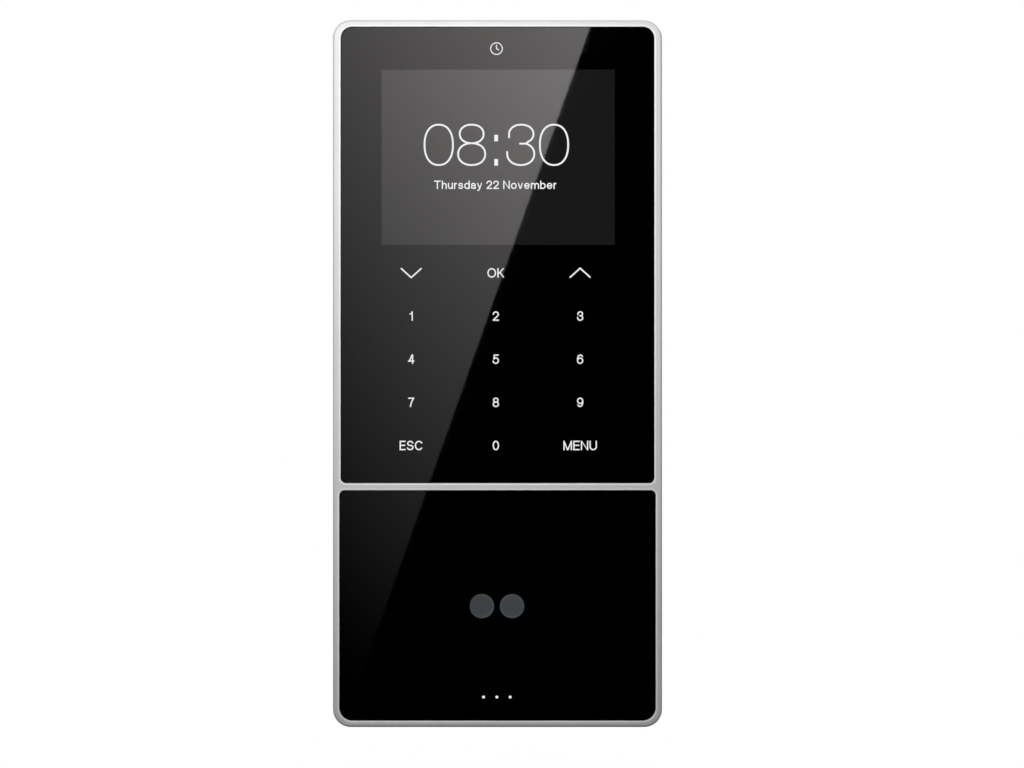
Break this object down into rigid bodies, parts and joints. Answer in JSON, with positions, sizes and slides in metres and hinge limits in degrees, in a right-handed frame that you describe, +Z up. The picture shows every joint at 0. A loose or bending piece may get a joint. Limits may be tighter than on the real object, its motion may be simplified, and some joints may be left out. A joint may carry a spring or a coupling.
{
  "type": "biometric time clock terminal",
  "caption": "Wall-mounted time and attendance terminal: silver frame, black glass fronts, display, touch keypad and twin camera windows, hooked on a steel wall plate.",
  "frame": {"origin": "on the wall, behind the middle of the terminal's width and height", "axes": "+Y into the wall, -Y out of the glass front towards the user, +Z up, +X to the user's right"},
  "size_m": [0.0988, 0.034, 0.2122],
  "materials": {
    "plate_steel": "dark powder coat on steel sheet",
    "brass": "turned brass",
    "steel": "zinc-plated or stainless steel",
    "frame_silver": "bead-blasted, clear anodised",
    "black_glass": "clear glass printed black from behind",
    "rubber_black": "soft moulded rubber or foam tape",
    "screen_glass": "dark display cell",
    "film_grey": "laminated sensor film",
    "clear_plastic": "clear moulded",
    "board_green": "solder resist on laminate",
    "filter_glass": "dark grey filter window",
    "part_black": "smooth moulded",
    "grey_plastic": "fine moulded texture",
    "terminal_green": "moulded",
    "ribbon_white": "flat flexible cable",
    "housing_black": "fine moulded texture"
  },
  "bodies": {
    "wall_plate": {"wall_plate": "plate_steel"},
    "terminal": {"lock_insert": "brass", "front_frame": "frame_silver", "upper_glass": "black_glass", "upper_glass_tape": "rubber_black", "lower_glass": "black_glass", "lower_glass_tape": "rubber_black", "display_backlight": "steel", "display_panel": "screen_glass", "touch_sensor": "film_grey", "legend_light_guide": "clear_plastic", "keypad_board": "board_green", "left_camera_window": "filter_glass", "left_camera": "part_black", "right_camera_window": "filter_glass", "right_camera": "part_black", "camera_board": "board_green", "reader_antenna_board": "board_green", "status_light_pipe": "clear_plastic", "status_board": "board_green", "middle_frame": "grey_plastic", "main_board": "board_green", "processor_shield": "steel", "wireless_module": "steel", "coin_cell_holder": "part_black", "coin_cell": "steel", "ethernet_jack": "steel", "power_jack": "part_black", "terminal_block": "terminal_green", "display_ribbon": "ribbon_white", "keypad_ribbon": "ribbon_white", "camera_ribbon": "ribbon_white", "socket_ribbon": "ribbon_white", "tamper_switch": "part_black", "tamper_spring": "steel", "socket_board": "board_green", "usb_socket": "steel", "reset_switch": "part_black", "rear_housing": "housing_black", "usb_flap_pin": "steel", "speaker": "part_black", "speaker_gasket": "rubber_black", "housing_gasket": "rubber_black", "frame_screw_1": "steel", "board_screw_1": "steel", "case_screw_1": "steel", "frame_screw_2": "steel", "board_screw_2": "steel", "case_screw_2": "steel", "frame_screw_3": "steel", "board_screw_3": "steel", "case_screw_3": "steel", "frame_screw_4": "steel", "board_screw_4": "steel", "case_screw_4": "steel"},
    "lock_washer": {"lock_washer": "steel"},
    "lock_screw": {"lock_screw": "steel"},
    "tamper_plunger": {"tamper_plunger": "grey_plastic"},
    "reset_button": {"reset_button": "grey_plastic"},
    "usb_flap": {"usb_flap": "rubber_black"}
  },
  "joints": [
    {"name": "terminal_lift", "type": "slide", "parent": "wall_plate", "child": "terminal", "axis": [0, 0, 1], "range_m": [0, 0.007]},
    {"name": "lock_screw_travel", "type": "slide", "parent": "wall_plate", "child": "lock_washer", "axis": [0, 0, -1], "range_m": [0, 0.0042]},
    {"name": "lock_screw_turn", "type": "hinge", "parent": "lock_washer", "child": "lock_screw", "pos_m": [0, -0.0095, -0.1029], "axis": [0, 0, -1], "range_deg": [0, 3100]},
    {"name": "tamper_press", "type": "slide", "parent": "terminal", "child": "tamper_plunger", "axis": [0, -1, 0], "range_m": [0, 0.0015], "stiffness_N_per_m": 200, "springref_m": -0.0015, "deforming": ["tamper_spring"]},
    {"name": "reset_press", "type": "slide", "parent": "terminal", "child": "reset_button", "axis": [0, 0, 1], "range_m": [0, 0.0004], "stiffness_N_per_m": 800, "springref_m": -0.0003},
    {"name": "usb_flap_open", "type": "hinge", "parent": "terminal", "child": "usb_flap", "pos_m": [0.0232, -0.0159, -0.10375], "axis": [-1, 0, 0], "range_deg": [0, 95]}
  ],
  "couplings": [
    {"joint": "lock_screw_turn", "follows": "lock_screw_travel", "rad_per_m": 12566}
  ]
}
